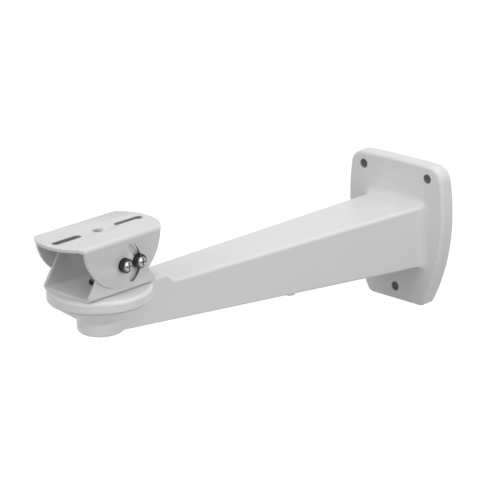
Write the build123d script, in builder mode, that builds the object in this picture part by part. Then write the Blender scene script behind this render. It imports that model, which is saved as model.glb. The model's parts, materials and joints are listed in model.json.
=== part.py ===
from build123d import *
import os
from math import sqrt

# Wall bracket for a camera: a hollow cast arm with its wall plate and round head,
# a folded yoke that pans on the head, and a folded cradle that tilts on the yoke.
# Millimetres. X = 0 is the middle plane, Y = 0 the wall, the arm runs along -Y,
# +Z is up and Z = 0 is the height from which the plate's rise and fall are measured.

os.makedirs("parts", exist_ok=True)

# Wall plate
plate_rise = 65.0
plate_fall = 67.3
plate_thickness = 13.2
plate_half_width = 55.5
plate_widest_z = 22.0
plate_side_radius = 179.0
plate_top_crown = 1.0
plate_top_corner = 14.0
plate_foot_corner = 8.0
plate_edge_round = 3.0
plate_rim = 4.5
plate_skin = 4.0
wall_hole_r = 4.2
wall_hole_boss_r = 8.5
top_hole_x = 37.2
top_hole_drop = 11.8
foot_hole_rise = 12.6

# Arm
arm_reach = 369.0
arm_root_half_width = 31.9
arm_tip_half_width = 18.1
arm_root_top = 26.9
arm_root_bottom = -29.4
arm_tip_top = 33.8
arm_tip_bottom = 4.4
arm_wall = 4.0
arm_top_round = 3.0
arm_bottom_round = 2.0
arm_core_round = 3.0
root_fillet = 7.5
core_end_gap = 62.0
core_overrun = 1.0

# Round head of the arm
head_radius = 42.8
head_top = 39.5
head_wall = 9.3
head_lower_round = 3.0
flare_depth = 25.8
flare_foot_round = 3.0
boss_proud = 1.4
boss_bottom = 1.5
boss_edge_round = 4.0
nut_well_radius = 14.5
nut_well_roof = 13.5
saddle_length = 56.0
saddle_slope = 8.0
saddle_round = 6.0
neck_fillet = 4.2

# Small cast pads under the arm
pad_radius = 4.6
pad_drop = 2.5
pad_inset = 9.0
pad_y = -168.0

# Folded sheet
sheet = 2.5
bend_inside = 1.0
rest_gap = 0.05
side_gap = 0.1

# Yoke
yoke_half_width = 26.9
yoke_half_length = 35.5
yoke_straight = 3.5
flange_top_radius = 18.0
pivot_z = 63.5

# Cradle
cradle_top = 85.8
cradle_end_radius = 40.0
cradle_half_length = 53.5
ear_radius = 40.3
ear_centre_z = 85.5
slot_centre = 33.0
slot_length = 29.0
slot_width = 6.5
centre_hole_r = 4.5
lock_radius = 15.0
arc_slot_width = 6.6
arc_slot_half_angle = 57.0

# M6 tilt screws
m6_r = 3.0
m6_thread_gap = 0.05
m6_running_gap = 0.08
m6_washer_r = 6.0
m6_washer_thick = 1.2
m6_spring_r = 5.4
m6_spring_thick = 1.4
m6_head_r = 5.8
m6_head_rim = 1.4
m6_head_height = 3.6
m6_tip = 1.0
m6_point = 0.6
m6_driver_r = 3.2
m6_driver_depth = 2.0
m6_driver_slot = 1.1

# M8 pan bolt
m8_r = 4.0
m8_running_gap = 0.08
m8_flats = 13.0
m8_head_height = 5.3
m8_nut_height = 6.5
m8_washer_r = 8.5
m8_washer_thick = 1.6
m8_spring_r = 7.2
m8_spring_thick = 2.0
m8_tip = 2.0
m8_point = 0.8
m8_thread_gap = 0.05
bolt_turn = 45.0
hex_chamfer = 0.8
spring_split = 1.2
washer_bore_gap = 0.2

# Places that follow from the sizes above
plate_foot = -plate_fall
pan_y = -arm_reach
boss_radius = arm_tip_half_width + boss_proud
top_hole_z = plate_rise - top_hole_drop
foot_hole_z = plate_foot + foot_hole_rise
yoke_bottom = head_top + rest_gap
yoke_floor = yoke_bottom + sheet
ear_inside = yoke_half_width + side_gap
cradle_half_width = ear_inside + sheet
bend_outside = bend_inside + sheet
nut_well_ceiling = head_top - nut_well_roof
clear_of_part = 100.0
picked = 0.2


def plate_half_width_at(z):
    """Half width of the wall plate at a height, on the arc of its side."""
    rise = z - plate_widest_z
    return plate_half_width - plate_side_radius + sqrt(plate_side_radius**2 - rise**2)


def plate_face(inset):
    """Outline of the wall plate, drawn in from its edge by an inset."""
    top = plate_rise - inset
    foot = plate_foot + inset
    shoulder = top - plate_top_crown
    side_x = plate_half_width - inset
    top_x = plate_half_width_at(shoulder) - inset
    foot_x = plate_half_width_at(foot) - inset
    with BuildSketch() as face:
        with BuildLine():
            ThreePointArc((-top_x, shoulder), (0, top), (top_x, shoulder))
            ThreePointArc((top_x, shoulder), (side_x, plate_widest_z), (foot_x, foot))
            Line((foot_x, foot), (-foot_x, foot))
            ThreePointArc((-foot_x, foot), (-side_x, plate_widest_z), (-top_x, shoulder))
        make_face()
        fillet(face.vertices().group_by(Axis.Y)[-1], plate_top_corner - inset)
        fillet(face.vertices().group_by(Axis.Y)[0], plate_foot_corner - inset)
    return face.sketch


def along_arm(y, at_root, at_tip):
    """A size that changes evenly from the plate's front face to the pan axis."""
    share = (-plate_thickness - y) / (arm_reach - plate_thickness)
    return at_root + (at_tip - at_root) * share


def core_section(y):
    """Corners of the arm's hollow at a distance along the arm, one wall inside it."""
    half = along_arm(y, arm_root_half_width, arm_tip_half_width) - arm_wall
    top = along_arm(y, arm_root_top, arm_tip_top) - arm_wall
    bottom = along_arm(y, arm_root_bottom, arm_tip_bottom) + arm_wall
    return [(half, top), (half, bottom), (-half, bottom), (-half, top)]


# Core that hollows the arm, one wall inside the beam
core_end = pan_y + core_end_gap
wall_hole_places = [(-top_hole_x, top_hole_z), (top_hole_x, top_hole_z), (0, foot_hole_z)]
with BuildPart() as arm_core:
    with BuildSketch(Plane.XZ.offset(-core_overrun)) as core_mouth:
        with BuildLine():
            Polyline(*core_section(core_overrun), close=True)
        make_face()
        fillet(core_mouth.vertices(), arm_core_round)
    with BuildSketch(Plane.XZ.offset(-core_end)) as core_tip:
        with BuildLine():
            Polyline(*core_section(core_end), close=True)
        make_face()
        fillet(core_tip.vertices(), arm_core_round)
    loft(ruled=True)

# Beam of the arm: its plan crossed with its side outline, saddle included
saddle_end = pan_y + saddle_length
saddle_foot = saddle_end + saddle_slope
beam_start = -plate_thickness / 2
with BuildPart() as arm_casting:
    with BuildSketch(Plane.XY):
        start_half = along_arm(beam_start, arm_root_half_width, arm_tip_half_width)
        with BuildLine():
            Polyline(
                (start_half, beam_start),
                (arm_tip_half_width, pan_y),
                (-arm_tip_half_width, pan_y),
                (-start_half, beam_start),
                close=True,
            )
        make_face()
    extrude(amount=clear_of_part, both=True)
    with BuildSketch(Plane.YZ) as arm_side:
        with BuildLine():
            Polyline(
                (beam_start, along_arm(beam_start, arm_root_top, arm_tip_top)),
                (saddle_foot, along_arm(saddle_foot, arm_root_top, arm_tip_top)),
                (saddle_end, head_top),
                (pan_y, head_top),
                (pan_y, arm_tip_bottom),
                (beam_start, along_arm(beam_start, arm_root_bottom, arm_tip_bottom)),
                close=True,
            )
        make_face()
        saddle_corners = arm_side.vertices().filter_by_position(
            Axis.X, saddle_end - picked, saddle_foot + picked
        )
        fillet(saddle_corners, saddle_round)
    extrude(amount=clear_of_part, both=True, mode=Mode.INTERSECT)
    beam_bottom = arm_casting.faces().filter_by(lambda f: f.normal_at().Z < -0.9)
    fillet(beam_bottom.edges().filter_by(lambda e: e.length > arm_reach / 2), arm_bottom_round)

    # Round head: a turned disc that flares into the boss of the pan bolt
    with BuildSketch(Plane.YZ) as head_profile:
        with BuildLine():
            Polyline(
                (pan_y, head_top),
                (pan_y - head_radius, head_top),
                (pan_y - head_radius, head_top - head_wall),
                (pan_y - boss_radius, head_top - flare_depth),
                (pan_y - boss_radius, boss_bottom),
                (pan_y, boss_bottom),
                close=True,
            )
        make_face()
        for corner_z, corner_round in (
            (head_top - head_wall, head_lower_round),
            (head_top - flare_depth, flare_foot_round),
            (boss_bottom, boss_edge_round),
        ):
            level = head_profile.vertices().filter_by_position(Axis.Y, corner_z - picked, corner_z + picked)
            fillet(level.sort_by(Axis.X)[0], corner_round)
    revolve(axis=Axis((0, pan_y, 0), (0, 0, 1)))

    # Neck: one fillet follows the seam of head, flare and boss with the arm, then the top rim is rounded
    seam = arm_casting.edges().filter_by(
        lambda e: abs(abs(e.center().X) - along_arm(e.center().Y, arm_root_half_width, arm_tip_half_width)) < picked
        and pan_y + picked < e.center().Y < pan_y + head_radius
        and boss_bottom + picked < e.center().Z < head_top - picked
    )
    fillet(seam, neck_fillet)
    fillet(arm_casting.faces().sort_by(Axis.Z)[-1].outer_wire().edges(), arm_top_round)

    # Wall plate with its rounded front rim and the wide fillet at the arm's root
    with BuildSketch(Plane.XZ):
        add(plate_face(0))
    extrude(amount=plate_thickness)
    front = arm_casting.faces().filter_by(Axis.Y).filter_by_position(
        Axis.Y, -plate_thickness - picked, -plate_thickness + picked
    )
    root_edges = front.edges().filter_by(
        lambda e: abs(e.center().X) < arm_root_half_width + picked
        and arm_root_bottom - picked < e.center().Z < arm_root_top + picked
    )
    fillet(root_edges, root_fillet)
    front = arm_casting.faces().filter_by(Axis.Y).filter_by_position(
        Axis.Y, -plate_thickness - picked, -plate_thickness + picked
    )
    fillet(front.face().outer_wire().edges(), plate_edge_round)

    # Cast pads under the arm
    pad_x = along_arm(pad_y, arm_root_half_width, arm_tip_half_width) - pad_inset
    pad_z = along_arm(pad_y, arm_root_bottom, arm_tip_bottom) - pad_drop
    with BuildSketch(Plane.XY.offset(pad_z)):
        with Locations((pad_x, pad_y), (-pad_x, pad_y)):
            Circle(pad_radius)
    extrude(amount=pad_drop + arm_wall / 2)

    # Hollow of the casting, open at the wall: pocket of the plate, then the core of the arm
    with BuildSketch(Plane.XZ):
        add(plate_face(plate_rim))
        with Locations(*wall_hole_places):
            Circle(wall_hole_boss_r, mode=Mode.SUBTRACT)
    extrude(amount=plate_thickness - plate_skin, mode=Mode.SUBTRACT)
    add(arm_core.part, mode=Mode.SUBTRACT)

    # Wall fixing holes, the pan bolt's hole and the well of its nut
    with Locations(*[(x, 0, z) for x, z in wall_hole_places]):
        Cylinder(wall_hole_r, clear_of_part, rotation=(90, 0, 0), mode=Mode.SUBTRACT)
    with Locations((0, pan_y, head_top)):
        Cylinder(m8_r + m8_running_gap, clear_of_part, mode=Mode.SUBTRACT)
    with BuildSketch(Plane.XY.offset(boss_bottom)):
        with Locations((0, pan_y)):
            Circle(nut_well_radius)
    extrude(amount=nut_well_ceiling - boss_bottom, mode=Mode.SUBTRACT)

arm_casting.part.label = "arm_casting"
export_step(arm_casting.part, "parts/arm_casting.step")

# Yoke: a folded channel that stands on the head and turns about the pan bolt
with BuildPart() as yoke:
    with BuildSketch(Plane.XZ.offset(-pan_y)) as yoke_section:
        with Locations((0, yoke_bottom)):
            Rectangle(2 * yoke_half_width, clear_of_part, align=(Align.CENTER, Align.MIN))
        fillet(yoke_section.vertices().group_by(Axis.Y)[0], bend_outside)
        with BuildSketch(mode=Mode.PRIVATE) as yoke_inside:
            with Locations((0, yoke_floor)):
                Rectangle(2 * (yoke_half_width - sheet), clear_of_part, align=(Align.CENTER, Align.MIN))
            fillet(yoke_inside.vertices().group_by(Axis.Y)[0], bend_inside)
        add(yoke_inside.sketch, mode=Mode.SUBTRACT)
    extrude(amount=clear_of_part, both=True)
    with BuildSketch(Plane.YZ):
        with Locations((pan_y, pivot_z)):
            Circle(flange_top_radius)
        with Locations((pan_y, yoke_bottom)):
            Rectangle(2 * yoke_half_length, yoke_straight, align=(Align.CENTER, Align.MIN))
        make_hull()
    extrude(amount=clear_of_part, both=True, mode=Mode.INTERSECT)
    with Locations((0, pan_y, yoke_bottom)):
        Cylinder(m8_r + m8_running_gap, clear_of_part, mode=Mode.SUBTRACT)
    with BuildSketch(Plane.YZ):
        with Locations((pan_y, pivot_z), (pan_y + lock_radius, pivot_z)):
            Circle(m6_r + m6_thread_gap)
    extrude(amount=clear_of_part, both=True, mode=Mode.SUBTRACT)
yoke.part.label = "yoke"
export_step(yoke.part, "parts/yoke.step")

# Cradle: a folded channel upside down over the yoke, which carries the camera
cradle_chord = cradle_half_length - cradle_end_radius
with BuildPart() as cradle:
    with BuildSketch(Plane.XZ.offset(-pan_y)) as cradle_section:
        with Locations((0, cradle_top)):
            Rectangle(2 * cradle_half_width, clear_of_part, align=(Align.CENTER, Align.MAX))
        fillet(cradle_section.vertices().group_by(Axis.Y)[-1], bend_outside)
        with BuildSketch(mode=Mode.PRIVATE) as cradle_inside:
            with Locations((0, cradle_top - sheet)):
                Rectangle(2 * ear_inside, clear_of_part, align=(Align.CENTER, Align.MAX))
            fillet(cradle_inside.vertices().group_by(Axis.Y)[-1], bend_inside)
        add(cradle_inside.sketch, mode=Mode.SUBTRACT)
    extrude(amount=clear_of_part, both=True)

    # Side outline: round ears below the bend, the full length above it
    bend_z = cradle_top - bend_outside
    ear_half = sqrt(ear_radius**2 - (ear_centre_z - bend_z) ** 2)
    with BuildSketch(Plane.YZ):
        with BuildLine():
            ThreePointArc(
                (pan_y - ear_half, bend_z), (pan_y, ear_centre_z - ear_radius), (pan_y + ear_half, bend_z)
            )
            Polyline(
                (pan_y + ear_half, bend_z),
                (pan_y + cradle_half_length, cradle_top - sheet),
                (pan_y + cradle_half_length, cradle_top),
                (pan_y - cradle_half_length, cradle_top),
                (pan_y - cradle_half_length, cradle_top - sheet),
                (pan_y - ear_half, bend_z),
            )
        make_face()
    extrude(amount=clear_of_part, both=True, mode=Mode.INTERSECT)

    # Plan: bowed ends, with the camera's two slots and the middle hole
    with BuildSketch(Plane.XY):
        with Locations((0, pan_y + cradle_chord), (0, pan_y - cradle_chord)):
            Circle(cradle_end_radius)
        with Locations((0, pan_y)):
            Rectangle(2 * cradle_half_width, 2 * cradle_chord)
        with Locations((0, pan_y + slot_centre), (0, pan_y - slot_centre)):
            SlotOverall(slot_length, slot_width, rotation=90, mode=Mode.SUBTRACT)
        with Locations((0, pan_y)):
            Circle(centre_hole_r, mode=Mode.SUBTRACT)
    extrude(amount=clear_of_part, mode=Mode.INTERSECT)

    # Ears: a running hole on the pivot screw and an arc slot for the lock screw
    with BuildSketch(Plane.YZ):
        with Locations((pan_y, pivot_z)):
            Circle(m6_r + m6_running_gap)
        with BuildLine():
            sweep_start, sweep = -arc_slot_half_angle, 2 * arc_slot_half_angle
            outer = CenterArc((pan_y, pivot_z), lock_radius + arc_slot_width / 2, sweep_start, sweep)
            inner = CenterArc((pan_y, pivot_z), lock_radius - arc_slot_width / 2, sweep_start, sweep)
            TangentArc(outer @ 1, inner @ 1, tangent=outer % 1)
            TangentArc(outer @ 0, inner @ 0, tangent=-(outer % 0))
        make_face()
    extrude(amount=clear_of_part, both=True, mode=Mode.SUBTRACT)
cradle.part.label = "cradle"
export_step(cradle.part, "parts/cradle.step")

# Tilt hardware: a pivot screw and a lock screw on each side, threaded into the yoke
dome_rise = m6_head_height - m6_head_rim
dome_radius = (m6_head_r**2 + dome_rise**2) / (2 * dome_rise)
dome_middle = (
    m6_head_height - dome_radius + sqrt(dome_radius**2 - (m6_head_r / 2) ** 2),
    m6_head_r / 2,
)
m6_length = m6_spring_thick + m6_washer_thick + rest_gap + 2 * sheet + side_gap + m6_tip
for side, sign in (("near", 1), ("far", -1)):
    for job, along in (("pivot", 0), ("lock", lock_radius)):
        ear_face = (sign * (cradle_half_width + rest_gap), pan_y + along, pivot_z)
        face = Plane(origin=ear_face, x_dir=(0, 1, 0), z_dir=(sign, 0, 0))
        spring_face = face.offset(m6_washer_thick)
        head_face = spring_face.offset(m6_spring_thick)
        name = f"{side}_{job}"

        with BuildPart() as washer:
            with BuildSketch(face):
                Circle(m6_washer_r)
                Circle(m6_r + washer_bore_gap, mode=Mode.SUBTRACT)
            extrude(amount=m6_washer_thick)
        washer.part.label = f"{name}_washer"
        export_step(washer.part, f"parts/{name}_washer.step")

        with BuildPart() as spring_washer:
            with BuildSketch(spring_face):
                Circle(m6_spring_r)
                Circle(m6_r + washer_bore_gap, mode=Mode.SUBTRACT)
                with Locations((0, -m6_spring_r)):
                    Rectangle(spring_split, 2 * (m6_spring_r - m6_r), mode=Mode.SUBTRACT)
            extrude(amount=m6_spring_thick)
        spring_washer.part.label = f"{name}_spring_washer"
        export_step(spring_washer.part, f"parts/{name}_spring_washer.step")

        # Screw turned about its own axis: local X points out of the ear, local Y is the radius
        turning = Plane(origin=head_face.origin, x_dir=(sign, 0, 0), z_dir=(0, 1, 0))
        with BuildPart() as screw:
            with BuildSketch(turning):
                with BuildLine():
                    Polyline(
                        (m6_head_height, 0),
                        (-m6_length, 0),
                        (-m6_length, m6_r - m6_point),
                        (-m6_length + m6_point, m6_r),
                        (0, m6_r),
                        (0, m6_head_r),
                        (m6_head_rim, m6_head_r),
                    )
                    ThreePointArc((m6_head_rim, m6_head_r), dome_middle, (m6_head_height, 0))
                make_face()
            revolve(axis=Axis(head_face.origin, (1, 0, 0)))
            with BuildSketch(head_face.offset(m6_head_height)):
                Rectangle(2 * m6_driver_r, m6_driver_slot)
                Rectangle(m6_driver_slot, 2 * m6_driver_r)
            extrude(amount=-m6_driver_depth, mode=Mode.SUBTRACT)
        screw.part.label = f"{name}_screw"
        export_step(screw.part, f"parts/{name}_screw.step")

# Pan hardware on the axis of the head: bolt, washers and the nut in its well
upper_washer_z = yoke_floor + rest_gap
upper_spring_z = upper_washer_z + m8_washer_thick
bolt_head_z = upper_spring_z + m8_spring_thick
lower_washer_z = nut_well_ceiling - m8_washer_thick
nut_z = lower_washer_z - m8_nut_height
bolt_end_z = nut_z - m8_tip
hex_corner = m8_flats / sqrt(3)

with BuildPart() as pan_washer:
    with BuildSketch(Plane.XY.offset(upper_washer_z)):
        with Locations((0, pan_y)):
            Circle(m8_washer_r)
            Circle(m8_r + washer_bore_gap, mode=Mode.SUBTRACT)
    extrude(amount=m8_washer_thick)
pan_washer.part.label = "pan_washer"
export_step(pan_washer.part, "parts/pan_washer.step")

with BuildPart() as pan_spring_washer:
    with BuildSketch(Plane.XY.offset(upper_spring_z)):
        with Locations((0, pan_y)):
            Circle(m8_spring_r)
            Circle(m8_r + washer_bore_gap, mode=Mode.SUBTRACT)
        with Locations((0, pan_y + m8_spring_r)):
            Rectangle(spring_split, 2 * (m8_spring_r - m8_r), mode=Mode.SUBTRACT)
    extrude(amount=m8_spring_thick)
pan_spring_washer.part.label = "pan_spring_washer"
export_step(pan_spring_washer.part, "parts/pan_spring_washer.step")

with BuildPart() as pan_bolt:
    with BuildSketch(Plane.XY.offset(bolt_head_z)):
        with Locations((0, pan_y)):
            RegularPolygon(m8_flats / 2, 6, major_radius=False, rotation=bolt_turn)
    extrude(amount=m8_head_height)
    with BuildSketch(Plane.YZ):
        with BuildLine():
            Polyline(
                (pan_y, bolt_head_z),
                (pan_y + hex_corner, bolt_head_z),
                (pan_y + hex_corner, bolt_head_z + m8_head_height - hex_chamfer),
                (pan_y + m8_flats / 2, bolt_head_z + m8_head_height),
                (pan_y, bolt_head_z + m8_head_height),
                close=True,
            )
        make_face()
    revolve(axis=Axis((0, pan_y, 0), (0, 0, 1)), mode=Mode.INTERSECT)
    with BuildSketch(Plane.XY.offset(bolt_end_z)):
        with Locations((0, pan_y)):
            Circle(m8_r)
    extrude(amount=bolt_head_z - bolt_end_z)
    chamfer(pan_bolt.faces().sort_by(Axis.Z)[0].edges(), m8_point)
pan_bolt.part.label = "pan_bolt"
export_step(pan_bolt.part, "parts/pan_bolt.step")

with BuildPart() as pan_lower_washer:
    with BuildSketch(Plane.XY.offset(lower_washer_z)):
        with Locations((0, pan_y)):
            Circle(m8_washer_r)
            Circle(m8_r + washer_bore_gap, mode=Mode.SUBTRACT)
    extrude(amount=m8_washer_thick)
pan_lower_washer.part.label = "pan_lower_washer"
export_step(pan_lower_washer.part, "parts/pan_lower_washer.step")

with BuildPart() as pan_nut:
    with BuildSketch(Plane.XY.offset(nut_z)):
        with Locations((0, pan_y)):
            RegularPolygon(m8_flats / 2, 6, major_radius=False)
    extrude(amount=m8_nut_height)
    with BuildSketch(Plane.YZ):
        with BuildLine():
            Polyline(
                (pan_y + m8_r + m8_thread_gap, nut_z),
                (pan_y + m8_flats / 2, nut_z),
                (pan_y + hex_corner, nut_z + hex_chamfer),
                (pan_y + hex_corner, nut_z + m8_nut_height - hex_chamfer),
                (pan_y + m8_flats / 2, nut_z + m8_nut_height),
                (pan_y + m8_r + m8_thread_gap, nut_z + m8_nut_height),
                close=True,
            )
        make_face()
    revolve(axis=Axis((0, pan_y, 0), (0, 0, 1)), mode=Mode.INTERSECT)
pan_nut.part.label = "pan_nut"
export_step(pan_nut.part, "parts/pan_nut.step")
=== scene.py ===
import json
from math import atan2, cos, radians, sin

import bmesh
import bpy
from mathutils import Matrix, Vector

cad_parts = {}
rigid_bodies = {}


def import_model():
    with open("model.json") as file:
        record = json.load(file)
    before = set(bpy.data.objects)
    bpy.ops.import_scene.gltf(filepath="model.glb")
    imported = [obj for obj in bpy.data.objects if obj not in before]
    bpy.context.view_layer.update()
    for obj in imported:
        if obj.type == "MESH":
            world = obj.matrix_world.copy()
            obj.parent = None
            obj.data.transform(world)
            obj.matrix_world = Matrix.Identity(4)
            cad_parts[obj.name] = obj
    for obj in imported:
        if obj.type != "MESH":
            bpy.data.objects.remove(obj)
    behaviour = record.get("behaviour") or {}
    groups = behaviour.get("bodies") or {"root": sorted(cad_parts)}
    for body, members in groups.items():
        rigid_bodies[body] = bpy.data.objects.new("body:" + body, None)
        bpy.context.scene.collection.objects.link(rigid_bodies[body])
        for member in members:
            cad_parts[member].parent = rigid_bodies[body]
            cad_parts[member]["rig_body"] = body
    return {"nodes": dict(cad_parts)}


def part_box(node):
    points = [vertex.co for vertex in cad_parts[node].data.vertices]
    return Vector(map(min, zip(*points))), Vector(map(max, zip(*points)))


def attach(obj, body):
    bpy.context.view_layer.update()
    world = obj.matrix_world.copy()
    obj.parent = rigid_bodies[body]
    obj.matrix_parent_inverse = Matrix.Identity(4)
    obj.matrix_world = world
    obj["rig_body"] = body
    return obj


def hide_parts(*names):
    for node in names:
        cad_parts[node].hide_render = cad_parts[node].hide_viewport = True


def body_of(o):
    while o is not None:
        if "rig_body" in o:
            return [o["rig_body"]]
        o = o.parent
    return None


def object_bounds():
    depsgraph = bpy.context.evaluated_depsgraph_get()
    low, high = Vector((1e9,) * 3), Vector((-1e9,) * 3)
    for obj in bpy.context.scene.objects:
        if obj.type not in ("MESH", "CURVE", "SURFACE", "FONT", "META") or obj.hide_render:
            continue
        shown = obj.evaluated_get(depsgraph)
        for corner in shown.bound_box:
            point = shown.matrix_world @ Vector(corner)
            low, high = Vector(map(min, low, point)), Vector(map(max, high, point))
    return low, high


# Wall bracket for a camera: white coat on the casting and the folded sheet, plated screws and washers.
# Metres, in the bracket's own frame: the wall is at Y = 0, the arm runs along -Y and +Z is up.

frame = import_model()
cad_low, cad_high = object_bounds()
nodes = frame["nodes"]
middle = (cad_low + cad_high) / 2

# Camera, where the photograph was taken from
image_px = 486
focal_px = 2575.2
sensor_width = 36.0
clip_end = 100.0
camera_place = (1.4404, -1.6599, 0.7175)
azimuth, elevation, roll = radians(44.74), radians(18.46), radians(-1.04)

# Room: each lamp has its name, its place from the bracket's middle, its size, watts and colour
room_light = 0.43
floor_drop, floor_size = 0.25, 12.0
floor_grey, floor_seen_grey = 0.15, 0.5
lamps = (
    ("overhead_lamp", (0.2, 0.25, 1.3), (1.4, 1.4), 8.6, (1.0, 0.985, 0.97)),
    ("right_lamp", (1.8, 0.1, 0.5), (1.2, 1.2), 11.6, (0.95, 0.96, 1.0)),
    ("front_lamp", (0.0, -1.75, 0.90), (1.2, 1.2), 10.4, (1.0, 0.975, 0.94)),
    ("low_lamp", (0.06, -0.22, -0.23), (0.3, 0.3), 0.20, (1.0, 1.0, 1.0)),
)

# Colours
black, white = (0.0, 0.0, 0.0), (1.0, 1.0, 1.0)
coat_white = (0.75, 0.75, 0.75)
sheet_white = (0.68, 0.68, 0.68)
bright_zinc = (0.66, 0.66, 0.67)
# lighter tone for the painted highlight over the tilt screws' crowns
painted_crown_highlight = (0.36, 0.36, 0.365)
dull_zinc = (0.24, 0.24, 0.245)
# near-black zinc: painted dark reflection and shade on the washers and on the tilt screws' head rims
painted_dark_reflection_zinc = (0.045, 0.045, 0.05)
# bare drilled metal in the wall holes, darkened to paint the shade in them
bore_bare_painted_shade = (0.30, 0.30, 0.305)
# painted shade on the walls of the cradle's camera slots and arc slots
slot_wall_painted_shade = (0.20, 0.20, 0.205)

# Powder coat: its relief on the casting and on the sheet, then its clouds, specks, and the painted shade on
# the walls of holes and slots.
# Each noise has its scale, its detail and, where it isn't a half, its roughness.
casting_relief = {"roughness": 0.36, "peel_scale": 700.0, "peel_height": 0.00012, "wave_height": 0.00032}
sheet_relief = {"roughness": 0.28, "peel_scale": 1200.0, "peel_height": 0.00003, "wave_height": 0.00006}
relief_strength, peel_detail = 0.5, 2.0
wave_noise, cloud_noise, speck_noise = (55.0, 1.0), (18.0, 3.0), (1100.0, 1.0)
cloud_dark, cloud_pale = 0.975, 1.025
speck_start, speck_full, speck_share, speck_shade = 0.66, 0.74, 0.35, 0.93
# share and mottle of the painted shade on the walls of holes and slots
painted_shade_share, painted_shade_mottle = 0.88, 0.5
cloud_dulling, peel_dulling = 0.10, 0.08
coat_ior = 1.5

# Plating: its clouds and fine marks, and on the tilt screws' heads a painted reflection, light in the
# middle and dark at the rim
plating_noise, plating_dark, plating_pale, plating_dulling = (260.0, 2.0), 0.82, 1.12, 0.06
mark_noise, mark_height, mark_strength, mark_dulling = (2400.0, 2.0, 0.6), 0.00002, 0.3, 0.10
dark_roughness, dull_roughness, bright_roughness = 0.30, 0.26, 0.20
crown_radius, crown_roughness = 0.0034, 0.14
# ramp of the painted reflection: light over the crown, dark towards the rim
painted_crown_reflection = ((0.50, white), (0.60, (0.45, 0.45, 0.45)), (0.70, black))
crown_mark_strength, crown_mark_dulling, crown_mark_spread = 0.25, 0.08, 0.04

# Eased edges of the cut sheet and of the washers
sheet_ease, washer_ease, ease_steps = 0.00035, 0.00015, 2
weld_reach = 0.000002
flat_angle, ease_angle, sharp_angle = radians(0.4), radians(40), radians(32)

# Threads of the screws
m6_radius, m6_pitch, m6_thread_length = 0.0030, 0.0010, 0.0016
m8_radius, m8_pitch, m8_thread_length = 0.0040, 0.00125, 0.0020
ridge_share = 0.28
turn_points, ridge_points = 40, 6

# Places of painted shade: the wall holes' bare drilled walls, the camera's slots and the lock screws' arc
# slots
wall_holes = ((0.0372, 0.0532), (0.0, -0.0547))
wall_hole_radius = 0.0042
pan_y, pivot_z = -0.369, 0.0635
camera_slot_offset, camera_slot_half_run, camera_slot_radius = 0.033, 0.01125, 0.00325
arc_slot_radius, arc_slot_half_width, arc_slot_half_angle = 0.015, 0.0033, radians(57)
# width of the painted shade's edge round holes and slots
painted_shade_edge = 0.00015

# Groove under the head's rim: a short ledge, then a run out to the plain flare, fading before the arm
groove_top, groove_bed, groove_end = 0.0293, 0.0288, 0.0230
groove_depth, groove_levels = 0.0018, 8
groove_full_angle, groove_end_angle = radians(62), radians(88)
groove_least_radius = 0.025

# The faces that the groove's levels are cut from: their middles' heights, radius and furthest place back
flare_low, flare_high = 0.011, 0.0292
flare_least_radius, flare_back = 0.018, 0.002
cut_reach = 0.0000001

# The same ledge in the coat's relief, which also hollows the flare down to the boss
rim_step_z, rim_step_width, rim_step_depth = 0.0292, 0.0028, 0.0036
hollow_inner_radius, hollow_outer_radius = 0.0205, 0.042
hollow_front, hollow_back = 0.006, 0.020

# Digits to which a corner's place and its face's normal are matched
place_digits, normal_digits = 6, 3

hardware = [name for name in nodes if name not in ("arm_casting", "yoke", "cradle")]
washers = [name for name in hardware if name.endswith("washer")]
tilt_screws = [name for name in hardware if name.endswith("screw")]


def centre_of(name):
    """Middle of a node's box."""
    low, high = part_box(name)
    return (low + high) / 2


class Wire:
    """One socket of a node tree, on which sums are written as sums."""

    def __init__(self, tree, socket):
        self.tree, self.socket = tree, socket

    def _sum(self, operation, *values):
        return self.tree.node("ShaderNodeMath", {"operation": operation}, dict(enumerate(values)))["Value"]

    def __add__(self, other):
        return self._sum("ADD", self, other)

    def __radd__(self, other):
        return self._sum("ADD", other, self)

    def __sub__(self, other):
        return self._sum("SUBTRACT", self, other)

    def __rsub__(self, other):
        return self._sum("SUBTRACT", other, self)

    def __mul__(self, other):
        return self._sum("MULTIPLY", self, other)

    def __truediv__(self, other):
        return self._sum("DIVIDE", self, other)

    def __abs__(self):
        return self._sum("ABSOLUTE", self)

    def least(self, other):
        return self._sum("MINIMUM", self, other)

    def above_zero(self):
        return self._sum("MAXIMUM", self, 0.0)

    def under(self, limit):
        """1 where the value is less than the limit, and 0 elsewhere."""
        return self._sum("LESS_THAN", self, limit)


class Tree:
    """A node tree of a material, the world or a shape, filled by one method."""

    def __init__(self, tree):
        self.tree = tree
        tree.nodes.clear()

    def node(self, kind, settings=None, sockets=None):
        """Adds a node: its settings first, then the values or links of its sockets. Gives its outputs."""
        made = self.tree.nodes.new(kind)
        for key, value in (settings or {}).items():
            if key == "stops":
                self._set_stops(made.color_ramp, value)
            else:
                setattr(made, key, value)
        for key, value in (sockets or {}).items():
            if isinstance(value, Wire):
                self.tree.links.new(value.socket, made.inputs[key])
            else:
                made.inputs[key].default_value = value
        return {socket.name: Wire(self, socket) for socket in made.outputs if socket.enabled}

    def _set_stops(self, ramp, stops):
        while len(ramp.elements) < len(stops):
            ramp.elements.new(1.0)
        for element, (place, colour) in zip(ramp.elements, stops):
            element.position = place
            element.color = rgba(colour)


def rgba(colour):
    return (*colour, 1.0)


def shade(colour, share):
    """A colour made darker or lighter, kept below white, for a socket."""
    return rgba(min(part * share, 1.0) for part in colour)


def new_finish(name):
    """An empty material and its tree."""
    material = bpy.data.materials.new(name)
    material.use_nodes = True
    return material, Tree(material.node_tree)


def place_on_piece(tree):
    return tree.node("ShaderNodeTexCoord")["Object"]


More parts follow.
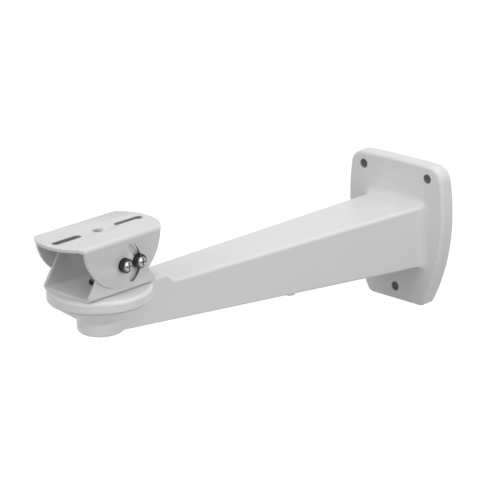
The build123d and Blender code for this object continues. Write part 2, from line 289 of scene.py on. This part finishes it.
def noise(place, scale, detail, roughness=0.5):
    sockets = {"Vector": place, "Scale": scale, "Detail": detail, "Roughness": roughness}
    return place.tree.node("ShaderNodeTexNoise", {}, sockets)["Fac"]


def swing(value, size):
    """A noise made to swing round zero, by half the size each way."""
    return (value - 0.5) * size


def ramp(value, stops):
    return value.tree.node("ShaderNodeValToRGB", {"stops": stops}, {"Fac": value})["Color"]


def carried(value, start, end, first, last, way="LINEAR"):
    """A value carried from one range to another and held at its ends."""
    sockets = {"Value": value, "From Min": start, "From Max": end, "To Min": first, "To Max": last}
    return value.tree.node("ShaderNodeMapRange", {"interpolation_type": way}, sockets)["Result"]


def mixed(share, first, second):
    """A colour between two."""
    sockets = {"Factor": share, "A": first, "B": second}
    return share.tree.node("ShaderNodeMix", {"data_type": "RGBA"}, sockets)["Result"]


def raised(height, strength, distance, ground=None):
    """Normal of a relief, on that of its ground where there is one."""
    sockets = {"Strength": strength, "Distance": distance, "Height": height}
    if ground:
        sockets["Normal"] = ground
    return height.tree.node("ShaderNodeBump", {}, sockets)["Normal"]


def close_finish(tree, sockets):
    """Ends a finish with its shader."""
    skin = tree.node("ShaderNodeBsdfPrincipled", {}, sockets)["BSDF"]
    tree.node("ShaderNodeOutputMaterial", {}, {"Surface": skin})


def split_place(place):
    parts = place.tree.node("ShaderNodeSeparateXYZ", {}, {0: place})
    return parts["X"], parts["Y"], parts["Z"]


def length_of(x, y):
    """Length of a flat vector."""
    flat = x.tree.node("ShaderNodeCombineXYZ", {}, {0: x, 1: y})["Vector"]
    return x.tree.node("ShaderNodeVectorMath", {"operation": "LENGTH"}, {0: flat})["Value"]


def within(distance, reach):
    """1 on the wall of a hole and 0 on the coat round it, with a short step between."""
    return carried(distance, reach, reach + painted_shade_edge, 1.0, 0.0)


def in_wall_holes(place):
    """Mask of the drilled walls of the plate's holes, where bare metal is shown darkened with painted
    shade.
    """
    x, _, z = split_place(place)
    (top_x, top_z), (foot_x, foot_z) = wall_holes
    top = length_of(abs(x) - top_x, z - top_z)
    foot = length_of(x - foot_x, z - foot_z)
    return within(top.least(foot), wall_hole_radius)


def in_cradle_slots(place):
    """Mask of the punched walls of the camera's slots and of the arc slots in the ears, where shade is
    painted.
    """
    x, y, z = split_place(place)
    forward, upward = y - pan_y, abs(z - pivot_z)
    along = abs(abs(forward) - camera_slot_offset) - camera_slot_half_run
    camera_slots = within(length_of(x, along.above_zero()), camera_slot_radius)
    end_y, end_z = arc_slot_radius * cos(arc_slot_half_angle), arc_slot_radius * sin(arc_slot_half_angle)
    radius = length_of(forward, upward)
    past_end = forward.under(radius * cos(arc_slot_half_angle))
    off_arc = abs(radius - arc_slot_radius) + past_end
    off_end = length_of(forward - end_y, upward - end_z)
    return camera_slots + within(off_arc.least(off_end), arc_slot_half_width)


def rim_step(place):
    """Height of the flare against its plain cone: sunk under the rim, and back at the boss."""
    x, y, z = split_place(place)
    forward = y - pan_y
    step_low, step_high = rim_step_z - rim_step_width / 2, rim_step_z + rim_step_width / 2
    depth = 1.0 - carried(z, step_low, step_high, 0.0, 1.0, "SMOOTHSTEP")
    depth = depth * carried(length_of(x, forward), hollow_inner_radius, hollow_outer_radius, 0.0, 1.0)
    return 1.0 - depth * carried(forward, hollow_front, hollow_back, 1.0, 0.0)


def powder_coat(name, colour, relief, painted_shade_colour=None, painted_shade_places=None, step=None):
    """White powder coat: orange peel on an uneven ground, faint clouds and specks, and painted shade on the
    walls of some holes and slots.
    """
    material, tree = new_finish(name)
    place = place_on_piece(tree)
    cloud = noise(place, *cloud_noise)
    wave = noise(place, *wave_noise)
    peel = noise(place, relief["peel_scale"], peel_detail)
    speck = ramp(noise(place, *speck_noise), ((0.0, black), (speck_start, black), (speck_full, white)))
    toned = mixed(cloud, shade(colour, cloud_dark), shade(colour, cloud_pale))
    toned = mixed(speck * speck_share, toned, shade(colour, speck_shade))
    if painted_shade_places:
        # painted shade on the walls of holes and slots
        toned = mixed(painted_shade_places(place) * (painted_shade_share + swing(peel, painted_shade_mottle)), toned, rgba(painted_shade_colour))
    stepped = raised(step(place), 1.0, rim_step_depth) if step else None
    waved = raised(wave, relief_strength, relief["wave_height"], stepped)
    close_finish(
        tree,
        {
            "Base Color": toned,
            "Roughness": relief["roughness"] + swing(cloud, cloud_dulling) + swing(peel, peel_dulling),
            "Normal": raised(peel, relief_strength, relief["peel_height"], waved),
            "IOR": coat_ior,
        },
    )
    return material


def plated_zinc(name, colour, roughness):
    """Plated steel: clouds in the plating, fine marks, and a little dulling."""
    material, tree = new_finish(name)
    place = place_on_piece(tree)
    cloud = noise(place, *plating_noise)
    marks = noise(place, *mark_noise)
    close_finish(
        tree,
        {
            "Base Color": mixed(cloud, shade(colour, plating_dark), shade(colour, plating_pale)),
            "Metallic": 1.0,
            "Roughness": roughness + swing(marks, mark_dulling) + swing(cloud, plating_dulling),
            "Normal": raised(marks, mark_strength, mark_height),
        },
    )
    return material


def head_with_painted_reflection(name, centre):
    """Tilt screw: a painted reflection, dark at the head's rim and light over the crown."""
    material, tree = new_finish(name)
    place = place_on_piece(tree)
    to_axis = {"Vector": place, "Location": tuple(-centre)}
    from_axis = tree.node("ShaderNodeMapping", {"vector_type": "POINT"}, to_axis)["Vector"]
    _, across, up = split_place(from_axis)
    marks = noise(place, *mark_noise)
    out = length_of(across, up) / (2.0 * crown_radius)
    # painted reflection: light over the crown, dark at the rim
    painted_glint = ramp(out + swing(marks, crown_mark_spread), painted_crown_reflection)
    close_finish(
        tree,
        {
            "Base Color": mixed(painted_glint, rgba(painted_dark_reflection_zinc), rgba(painted_crown_highlight)),
            "Metallic": 1.0,
            "Roughness": crown_roughness + swing(marks, crown_mark_dulling),
            "Normal": raised(marks, crown_mark_strength, mark_height),
        },
    )
    return material


def wear(piece, material):
    """Puts one finish on the whole of a piece."""
    if not piece.material_slots:
        piece.data.materials.append(material)
    for mesh_slot in piece.material_slots:
        mesh_slot.material = material


def new_piece(name, mesh):
    piece = bpy.data.objects.new(name, mesh)
    bpy.context.scene.collection.objects.link(piece)
    return piece


def make_plain(piece):
    """Turns a piece's modifiers into its own mesh."""
    looked_at = piece.evaluated_get(bpy.context.evaluated_depsgraph_get())
    mesh = bpy.data.meshes.new_from_object(looked_at)
    piece.modifiers.clear()
    piece.data = mesh


def welded_shape(name):
    """Shape of a CAD piece with its doubled corners joined."""
    shape = bmesh.new()
    shape.from_mesh(nodes[name].data)
    bmesh.ops.remove_doubles(shape, verts=shape.verts, dist=weld_reach)
    return shape


def mesh_of(shape, name):
    """Mesh of a changed shape, without the normals of the old one."""
    mesh = bpy.data.meshes.new(name)
    shape.to_mesh(mesh)
    shape.free()
    if "custom_normal" in mesh.attributes:
        mesh.attributes.remove(mesh.attributes["custom_normal"])
    return mesh


def smooth(mesh):
    """Smooth faces with sharp edges between them."""
    mesh.shade_smooth()
    mesh.set_sharp_from_angle(angle=sharp_angle)


def take_place(piece, name, finish):
    """Puts a reworked piece with its finish in the place of the CAD's, on the same body."""
    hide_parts(name)
    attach(piece, body_of(nodes[name])[0])
    wear(piece, finish)


def ease_edges(name, ease, finish):
    """A copy of a CAD piece with its sharp edges eased, as cut sheet and stamped washers have them."""
    shape = welded_shape(name)
    bmesh.ops.dissolve_limit(shape, angle_limit=flat_angle, verts=shape.verts, edges=shape.edges)
    piece = new_piece(f"{name}_eased", mesh_of(shape, f"{name}_eased"))
    bevel = piece.modifiers.new("ease", "BEVEL")
    bevel.width = ease
    bevel.segments = ease_steps
    bevel.limit_method = "ANGLE"
    bevel.angle_limit = ease_angle
    make_plain(piece)
    smooth(piece.data)
    take_place(piece, name, finish)


def corners_of(mesh):
    """Each corner of a mesh with the rounded place and face normal that it is known by."""
    for face in mesh.polygons:
        for corner in face.loop_indices:
            point = mesh.vertices[mesh.loops[corner].vertex_index].co
            place = tuple(round(part, place_digits) for part in point)
            facing = tuple(round(part, normal_digits) for part in face.normal)
            yield (place, facing), mesh.corner_normals[corner].vector.copy()


def keep_surface_normals(mesh, source):
    """Gives a mesh the source's own smooth normals wherever their faces are the same."""
    known = dict(corners_of(source))
    mesh.normals_split_custom_set([known.get(corner, normal) for corner, normal in corners_of(mesh)])


def smooth_share(share):
    """A share kept between 0 and 1 that starts and ends gently."""
    share = min(max(share, 0.0), 1.0)
    return share * share * (3.0 - 2.0 * share)


def groove_share(height):
    """How far the groove is drawn in at a height: a steep ledge above its bed and a long run below."""
    if height > groove_bed:
        return smooth_share((groove_top - height) / (groove_top - groove_bed))
    return smooth_share((height - groove_end) / (groove_bed - groove_end))


def flare_geometry(shape):
    """The head's flare on the side away from the arm: its faces, edges and corners, in order."""
    flare = {}
    for face in shape.faces:
        x, y, z = face.calc_center_median()
        in_front = y < pan_y + flare_back and Vector((x, y - pan_y)).length > flare_least_radius
        if in_front and flare_low < z < flare_high:
            flare.update(dict.fromkeys((face, *face.edges, *face.verts)))
    return list(flare)


def cut_groove(shape):
    """Cuts the head's flare into levels and draws them in under the rim."""
    run = groove_bed - groove_end
    heights = [groove_end + run * step / groove_levels for step in range(groove_levels + 1)]
    for height in (*heights, (groove_bed + groove_top) / 2):
        level = {"plane_co": (0.0, 0.0, height), "plane_no": (0.0, 0.0, 1.0)}
        bmesh.ops.bisect_plane(shape, geom=flare_geometry(shape), dist=cut_reach, **level)
    for vertex in shape.verts:
        out = Vector((vertex.co.x, vertex.co.y - pan_y))
        if out.y < 0.0 and out.length > groove_least_radius and groove_end < vertex.co.z < groove_top:
            angle = atan2(abs(out.x), -out.y)
            fade = smooth_share((groove_end_angle - angle) / (groove_end_angle - groove_full_angle))
            out *= 1.0 - groove_depth * fade * groove_share(vertex.co.z) / out.length
            vertex.co.x, vertex.co.y = out.x, out.y + pan_y
    bmesh.ops.triangulate(shape, faces=[face for face in shape.faces if len(face.verts) > 3])


def groove_casting(finish):
    """A copy of the arm's casting with the groove under the head's rim."""
    shape = welded_shape("arm_casting")
    cut_groove(shape)
    mesh = mesh_of(shape, "arm_casting_grooved")
    smooth(mesh)
    keep_surface_normals(mesh, nodes["arm_casting"].data)
    take_place(new_piece("arm_casting_grooved", mesh), "arm_casting", finish)


def thread_shape():
    """Tree of a row of screw threads, each one ridge wound up from its base, ended in their finish."""
    group = bpy.data.node_groups.new("screw_thread", "GeometryNodeTree")
    inputs = {}
    for name, kind in (
        ("Radius", "NodeSocketFloat"),
        ("Pitch", "NodeSocketFloat"),
        ("Length", "NodeSocketFloat"),
        ("Ridge", "NodeSocketFloat"),
        ("Base", "NodeSocketVector"),
        ("Along", "NodeSocketVector"),
        ("Copies", "NodeSocketInt"),
        ("Step", "NodeSocketVector"),
        ("Finish", "NodeSocketMaterial"),
    ):
        inputs[name] = group.interface.new_socket(name=name, in_out="INPUT", socket_type=kind).identifier
    group.interface.new_socket(name="Thread", in_out="OUTPUT", socket_type="NodeSocketGeometry")
    tree = Tree(group)
    given = tree.node("NodeGroupInput")
    helix = tree.node(
        "GeometryNodeCurveSpiral",
        {},
        {
            "Resolution": turn_points,
            "Rotations": given["Length"] / given["Pitch"],
            "Start Radius": given["Radius"],
            "End Radius": given["Radius"],
            "Height": given["Length"],
        },
    )["Curve"]
    round_ridge = {"Resolution": ridge_points, "Radius": given["Ridge"]}
    ridge = tree.node("GeometryNodeCurvePrimitiveCircle", {}, round_ridge)["Curve"]
    swept = {"Curve": helix, "Profile Curve": ridge, "Fill Caps": True}
    wound = tree.node("GeometryNodeCurveToMesh", {}, swept)["Mesh"]
    turned = tree.node("FunctionNodeAlignRotationToVector", {"axis": "Z"}, {"Vector": given["Along"]})
    line = {"Count": given["Copies"], "Start Location": given["Base"], "Offset": given["Step"]}
    row = tree.node("GeometryNodeMeshLine", {"mode": "OFFSET"}, line)["Mesh"]
    copies = {"Points": row, "Instance": wound, "Rotation": turned["Rotation"]}
    placed = tree.node("GeometryNodeInstanceOnPoints", {}, copies)["Instances"]
    real = tree.node("GeometryNodeRealizeInstances", {}, {"Geometry": placed})["Geometry"]
    dressed = {"Geometry": real, "Material": given["Finish"]}
    finished = tree.node("GeometryNodeSetMaterial", {}, dressed)["Geometry"]
    tree.node("NodeGroupOutput", {}, {"Thread": finished})
    return group, inputs


def thread_sizes(radius, pitch, length):
    """Sizes of a thread wound on a screw's end, its ridge a little proud of the screw."""
    ridge = {"Radius": radius * (1.0 - ridge_share / 4), "Ridge": pitch * ridge_share}
    return {**ridge, "Pitch": pitch, "Length": length}


def wind_thread(thread, name, screw, values):
    """A thread as a plain mesh on a screw's body, from the thread's tree and its named values."""
    group, inputs = thread
    piece = new_piece(name, bpy.data.meshes.new(name))
    winding = piece.modifiers.new("thread", "NODES")
    winding.node_group = group
    for key, value in values.items():
        winding[inputs[key]] = value
    make_plain(piece)
    piece.data.shade_smooth()
    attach(piece, body_of(nodes[screw])[0])


def wind_threads(finish):
    """Threads on the ends that show: the tilt screws' inside the yoke, the pan bolt's below its nut."""
    thread = thread_shape()
    pivot, lock, bolt = (centre_of(name) for name in ("near_pivot_screw", "near_lock_screw", "pan_bolt"))
    for side, outward in (("near", 1.0), ("far", -1.0)):
        screw = f"{side}_pivot_screw"
        low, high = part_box(screw)
        tip = low.x if outward > 0 else high.x
        values = {
            **thread_sizes(m6_radius, m6_pitch, m6_thread_length),
            "Base": (tip + outward * m6_pitch, pivot.y, pivot.z),
            "Along": (outward, 0.0, 0.0),
            "Copies": 2,
            "Step": (0.0, lock.y - pivot.y, 0.0),
            "Finish": finish,
        }
        wind_thread(thread, f"{side}_tilt_threads", screw, values)
    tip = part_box("pan_bolt")[0].z
    values = {
        **thread_sizes(m8_radius, m8_pitch, m8_thread_length),
        "Base": (bolt.x, bolt.y, tip + m8_pitch),
        "Along": (0.0, 0.0, 1.0),
        "Copies": 1,
        "Step": (0.0, 0.0, 0.0),
        "Finish": finish,
    }
    wind_thread(thread, "pan_bolt_thread", "pan_bolt", values)


def finish_pieces():
    """Gives every CAD piece its finish, and reworks the casting, the sheets and the washers."""
    casting_places = {"painted_shade_colour": bore_bare_painted_shade, "painted_shade_places": in_wall_holes, "step": rim_step}
    casting_coat = powder_coat("white_casting_coat", coat_white, casting_relief, **casting_places)
    slot_places = {"painted_shade_colour": slot_wall_painted_shade, "painted_shade_places": in_cradle_slots}
    sheet_coats = {
        "yoke": powder_coat("white_yoke_coat", sheet_white, sheet_relief),
        "cradle": powder_coat("white_cradle_coat", sheet_white, sheet_relief, **slot_places),
    }
    # the washers' near-black plating is painted dark reflection and shade
    painted_dark_plating = plated_zinc("washer_plating_painted_dark", painted_dark_reflection_zinc, dark_roughness)
    dull_plating = plated_zinc("dull_spring_washer_plating", dull_zinc, dull_roughness)
    bright_plating = plated_zinc("bright_bolt_plating", bright_zinc, bright_roughness)
    wear(nodes["arm_casting"], casting_coat)
    groove_casting(casting_coat)
    for name, coat in sheet_coats.items():
        wear(nodes[name], coat)
        ease_edges(name, sheet_ease, coat)
    for name in hardware:
        wear(nodes[name], bright_plating)
    for name in tilt_screws:
        wear(nodes[name], head_with_painted_reflection(f"{name}_plating", centre_of(name)))
    for name in washers:
        plating = dull_plating if "spring" in name else painted_dark_plating
        ease_edges(name, washer_ease, plating)
    wind_threads(bright_plating)


def place_camera():
    data = bpy.data.cameras.new("photo_camera")
    data.sensor_fit = "HORIZONTAL"
    data.sensor_width = sensor_width
    data.lens = focal_px / image_px * sensor_width
    data.clip_end = clip_end
    camera = new_piece("photo_camera", data)
    back = Vector((sin(azimuth) * cos(elevation), -cos(azimuth) * cos(elevation), sin(elevation)))
    level = Vector((cos(azimuth), sin(azimuth), 0.0))
    upright = back.cross(level)
    right = cos(roll) * level + sin(roll) * upright
    up = cos(roll) * upright - sin(roll) * level
    turn = Matrix((right, up, back)).transposed()
    camera.matrix_world = Matrix.Translation(camera_place) @ turn.to_4x4()
    bpy.context.scene.camera = camera


def hang_lamps():
    for name, place, size, watts, colour in lamps:
        data = bpy.data.lights.new(name, "AREA")
        data.shape = "RECTANGLE"
        data.size, data.size_y = size
        data.energy = watts
        data.color = colour
        lamp = new_piece(name, data)
        lamp.location = middle + Vector(place)
        lamp.visible_camera = False
        lamp.rotation_mode = "QUATERNION"
        lamp.rotation_quaternion = Vector(place).to_track_quat("Z", "Y")


def seen_directly(tree):
    """1 for a ray from the camera, a reflection or glass, and 0 for one that carries light."""
    rays = tree.node("ShaderNodeLightPath")
    return rays["Is Camera Ray"] + rays["Is Glossy Ray"] + rays["Is Transmission Ray"]


def lay_floor():
    """A pale floor that shows white, and a little darker where the bracket's shadow falls."""
    bpy.ops.mesh.primitive_plane_add(size=floor_size, location=(0.0, 0.0, cad_low.z - floor_drop))
    floor = bpy.context.object
    floor.name = "floor"
    material, tree = new_finish("pale_floor")
    lit = tree.node("ShaderNodeBsdfDiffuse", {}, {"Color": rgba((floor_grey,) * 3)})["BSDF"]
    pale = tree.node("ShaderNodeBsdfDiffuse", {}, {"Color": rgba((floor_seen_grey,) * 3)})["BSDF"]
    glow = {"Color": rgba(white), "Strength": 1.0 - floor_seen_grey * room_light}
    glowing = tree.node("ShaderNodeEmission", {}, glow)["Emission"]
    both = tree.node("ShaderNodeAddShader", {}, {0: pale, 1: glowing})["Shader"]
    shown = tree.node("ShaderNodeMixShader", {}, {"Fac": seen_directly(tree), 1: lit, 2: both})["Shader"]
    tree.node("ShaderNodeOutputMaterial", {}, {"Surface": shown})
    floor.data.materials.append(material)


def paint_room():
    """A plain room: soft light on the bracket, white where it is seen directly."""
    room = bpy.data.worlds.new("plain_room")
    bpy.context.scene.world = room
    room.use_nodes = True
    tree = Tree(room.node_tree)
    soft, shown = (
        tree.node("ShaderNodeBackground", {}, {"Color": rgba(white), "Strength": strength})["Background"]
        for strength in (room_light, 1.0)
    )
    chosen = tree.node("ShaderNodeMixShader", {}, {"Fac": seen_directly(tree), 1: soft, 2: shown})["Shader"]
    tree.node("ShaderNodeOutputWorld", {}, {"Surface": chosen})


place_camera()
paint_room()
lay_floor()
hang_lamps()
finish_pieces()

bpy.context.scene.view_settings.view_transform = "Standard"
